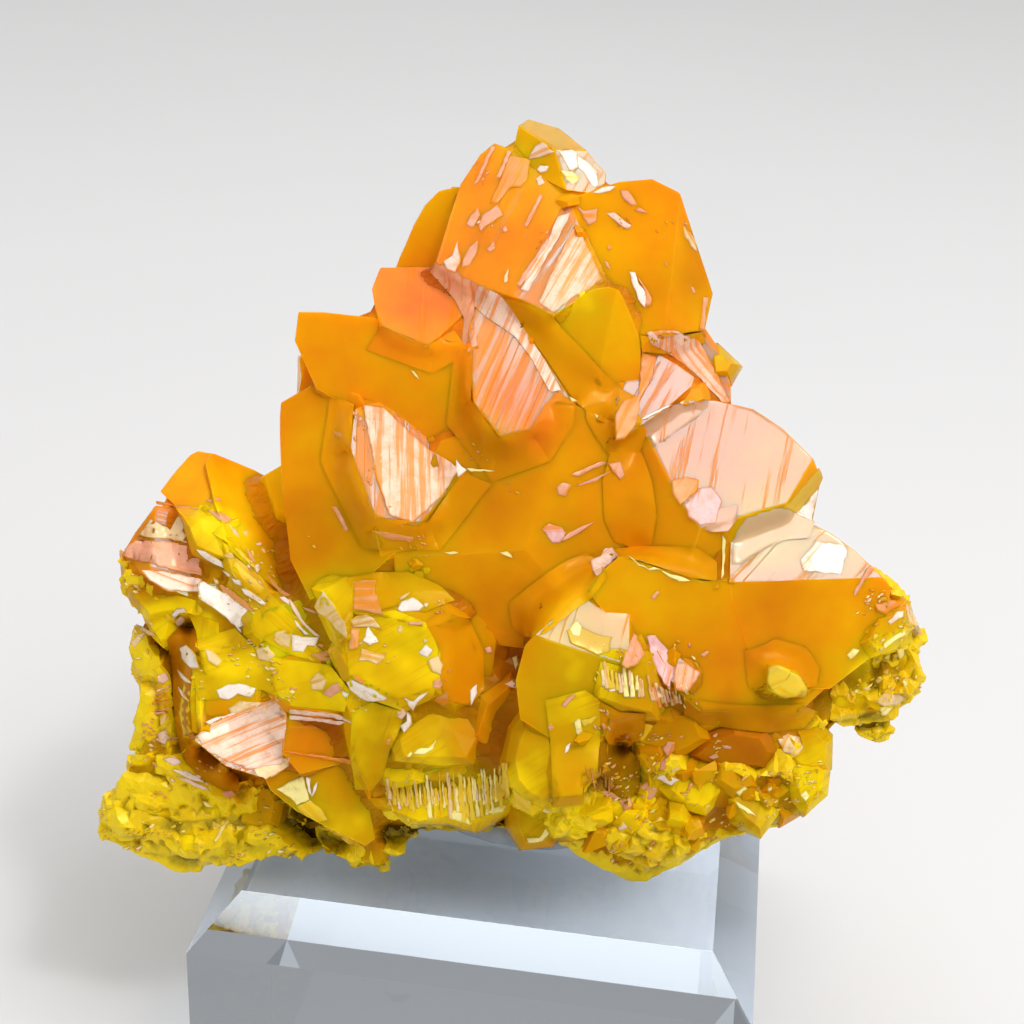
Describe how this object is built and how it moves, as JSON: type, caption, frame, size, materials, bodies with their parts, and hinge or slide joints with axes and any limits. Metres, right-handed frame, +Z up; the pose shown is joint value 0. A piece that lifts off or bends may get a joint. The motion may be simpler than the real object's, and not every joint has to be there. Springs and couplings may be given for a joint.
{
  "type": "orpiment specimen",
  "caption": "Cluster of orange orpiment crystals with striated faces on a yellow crusted matrix, fixed with putty on a clear bevelled block.",
  "frame": {"origin": "centre of the display block's flat underside", "axes": "+Z up, away from the underside; -Y towards the side the crystals face; +X to the right seen from there"},
  "size_m": [0.0554, 0.0396, 0.0663],
  "materials": {
    "orpiment": "resinous to pearly, translucent orange",
    "crust": "granular yellow to olive crust",
    "putty": "matte bluish grey putty",
    "acrylic": "clear polished acrylic"
  },
  "bodies": {
    "root": {"orpiment_crystals": "orpiment", "matrix": "crust", "mounting_putty": "putty", "display_block": "acrylic"}
  },
  "joints": []
}
